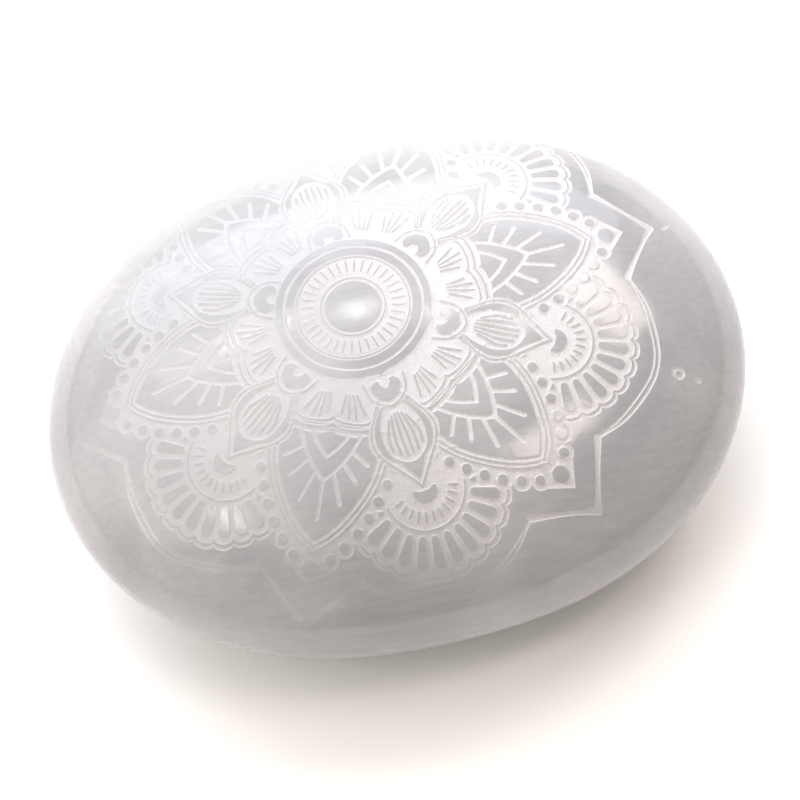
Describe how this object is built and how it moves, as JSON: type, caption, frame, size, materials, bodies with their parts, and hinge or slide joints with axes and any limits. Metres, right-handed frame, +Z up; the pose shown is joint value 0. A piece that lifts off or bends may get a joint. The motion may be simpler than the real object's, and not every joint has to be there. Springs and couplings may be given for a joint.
{
  "type": "engraved selenite palm stone",
  "caption": "Smooth oval pebble of white selenite that fills the palm, with a flower mandala engraved as shallow frosted lines on its upper face.",
  "frame": {"origin": "middle of the underside, on the small flat that the stone rests on", "axes": "+X along the stone's length, +Y across it, +Z up out of the engraved face"},
  "size_m": [0.0688, 0.0528, 0.0244],
  "materials": {
    "selenite": "polished white satin spar, slightly translucent with a silky sheen along its length, frosted where it is engraved"
  },
  "bodies": {
    "root": {"palm_stone": "selenite"}
  },
  "joints": []
}
